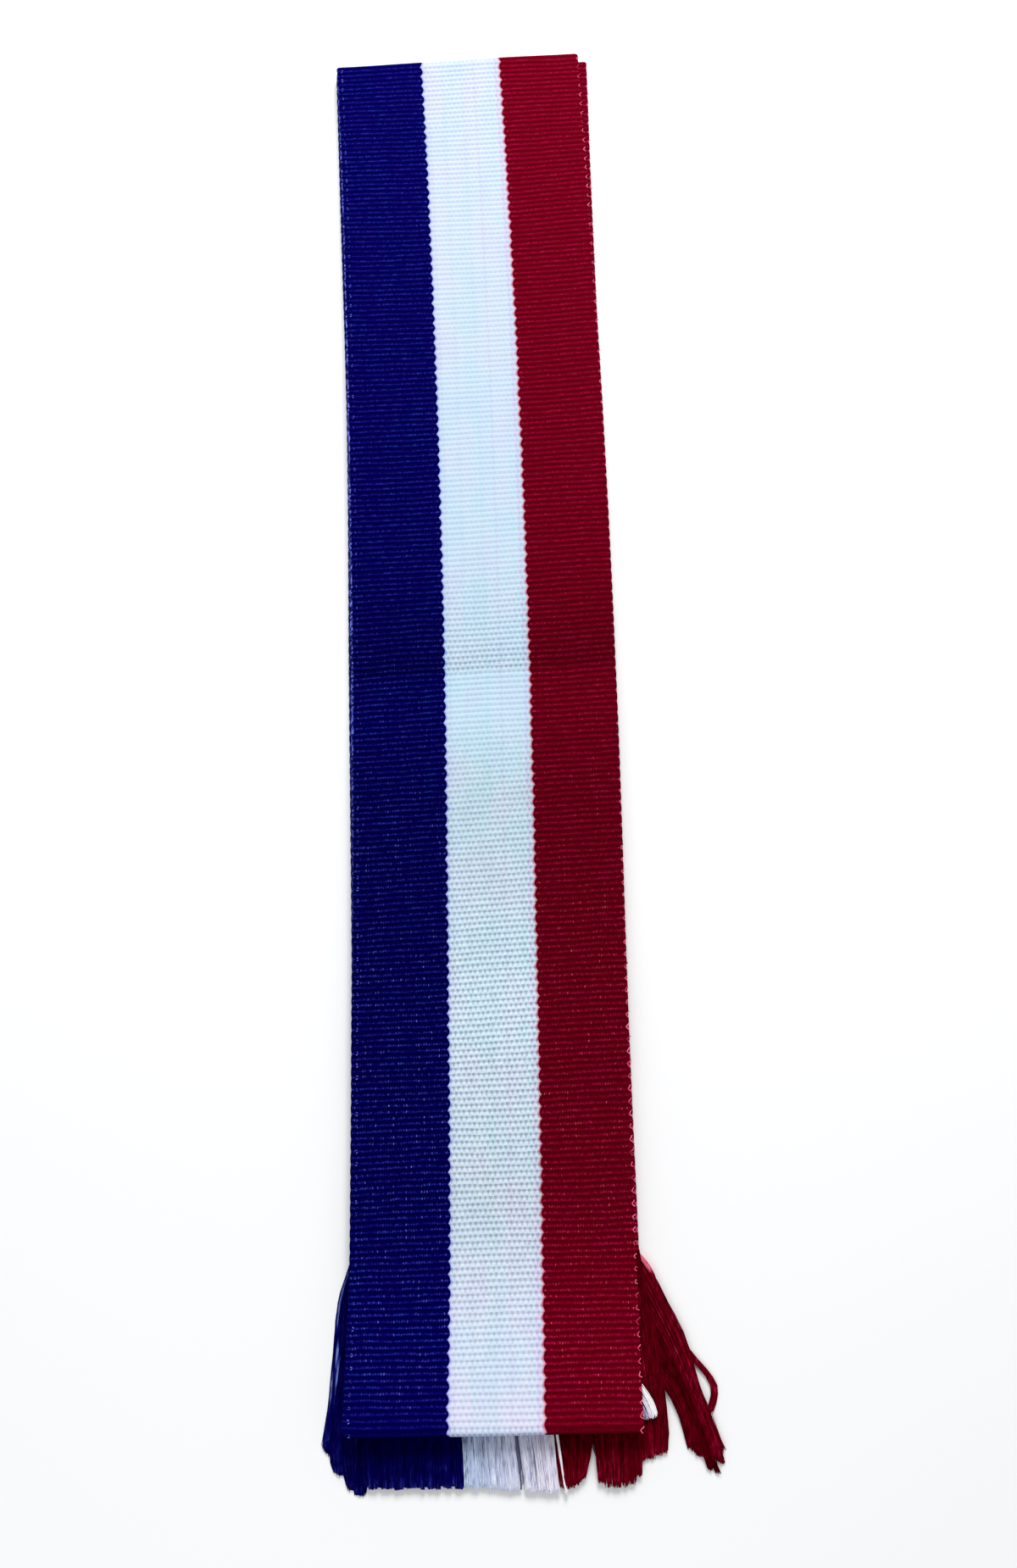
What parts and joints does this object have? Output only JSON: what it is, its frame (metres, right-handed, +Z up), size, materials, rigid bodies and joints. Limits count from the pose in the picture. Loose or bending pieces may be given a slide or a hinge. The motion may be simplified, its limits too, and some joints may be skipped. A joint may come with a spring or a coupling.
{
  "type": "waist sash",
  "caption": "Long ribbed cloth sash in blue, white and red lengthwise stripes, folded flat into stacked runs, with loose warp fringe at its ends.",
  "frame": {"origin": "on the underside of the lowest run of cloth, in the middle of the folded length, on the surface that the sash lies on", "axes": "+X across the sash from the blue stripe to the red one on the top run, +Y along the sash from the fringe to the top folds, +Z up"},
  "size_m": [0.1375, 0.5522, 0.0069],
  "materials": {
    "ribbed_cloth": "warp-faced rib weave in blue, white and red stripes, slightly lustrous",
    "blue_yarn": "silky loose yarn",
    "white_yarn": "silky loose yarn",
    "red_yarn": "silky loose yarn"
  },
  "bodies": {
    "root": {"woven_band": "ribbed_cloth", "upper_fringe_blue": "blue_yarn", "upper_fringe_white": "white_yarn", "upper_fringe_red_inner": "red_yarn", "upper_fringe_red_middle": "red_yarn", "upper_fringe_red_outer": "red_yarn", "white_stray_tuft": "white_yarn", "lower_fringe_blue_outer": "blue_yarn", "lower_fringe_blue_side": "blue_yarn", "lower_fringe_blue_inner": "blue_yarn", "lower_fringe_white": "white_yarn", "lower_fringe_red_inner": "red_yarn", "lower_fringe_red_tassel": "red_yarn", "lower_fringe_red_curl": "red_yarn"}
  },
  "joints": []
}
